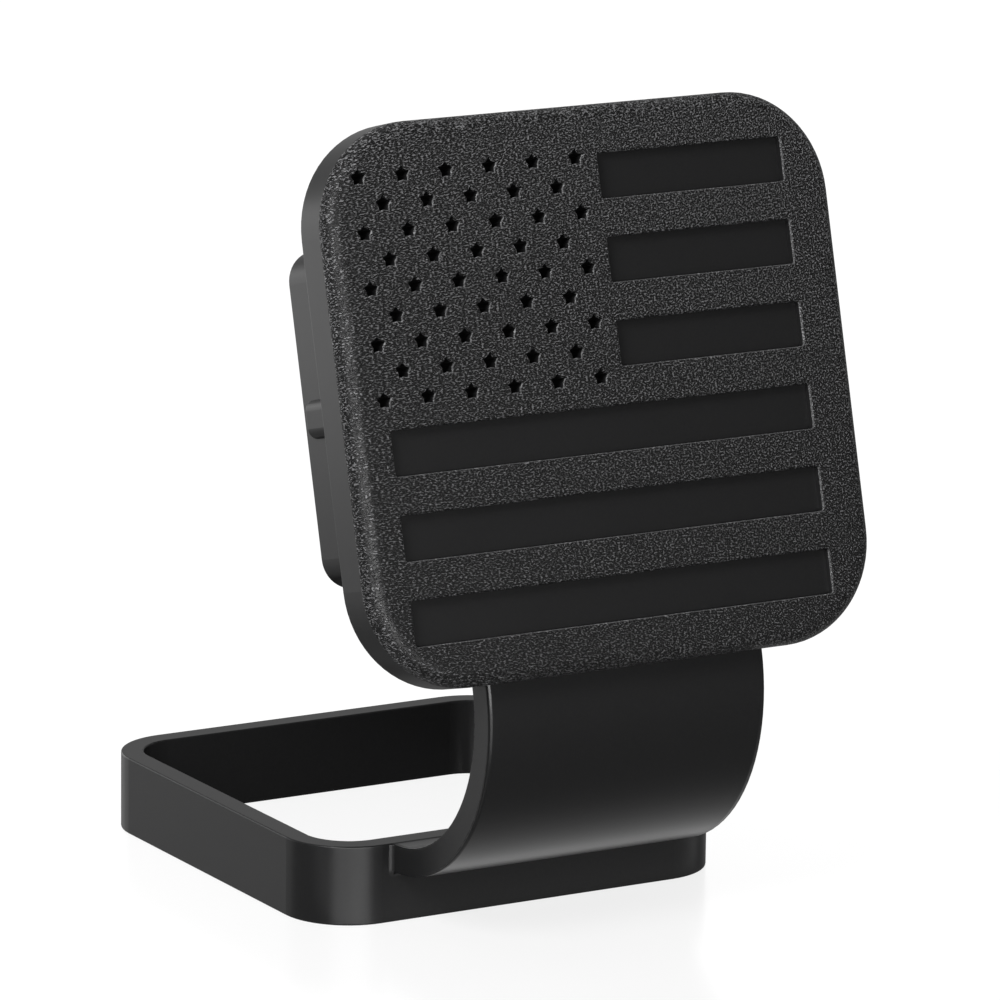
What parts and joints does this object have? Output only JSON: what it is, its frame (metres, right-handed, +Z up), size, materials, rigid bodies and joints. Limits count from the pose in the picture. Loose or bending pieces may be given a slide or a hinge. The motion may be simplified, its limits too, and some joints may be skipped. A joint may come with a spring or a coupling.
{
  "type": "hitch receiver cover",
  "caption": "Moulded rubber cover for a square hitch receiver: a rounded face plate with a flag relief, a hollow plug behind it, and a band on a bent strap that keeps it on the tube.",
  "frame": {"origin": "middle of the band's opening, on the band's underside", "axes": "+X along the plate's width, +Y from the bent strap towards the back of the band, +Z up through the band's opening"},
  "size_m": [0.0844, 0.1004, 0.1209],
  "materials": {
    "black_rubber": "matt black rubber, leather grain on the face, smooth elsewhere"
  },
  "bodies": {
    "root": {"hitch_cover": "black_rubber"}
  },
  "joints": []
}
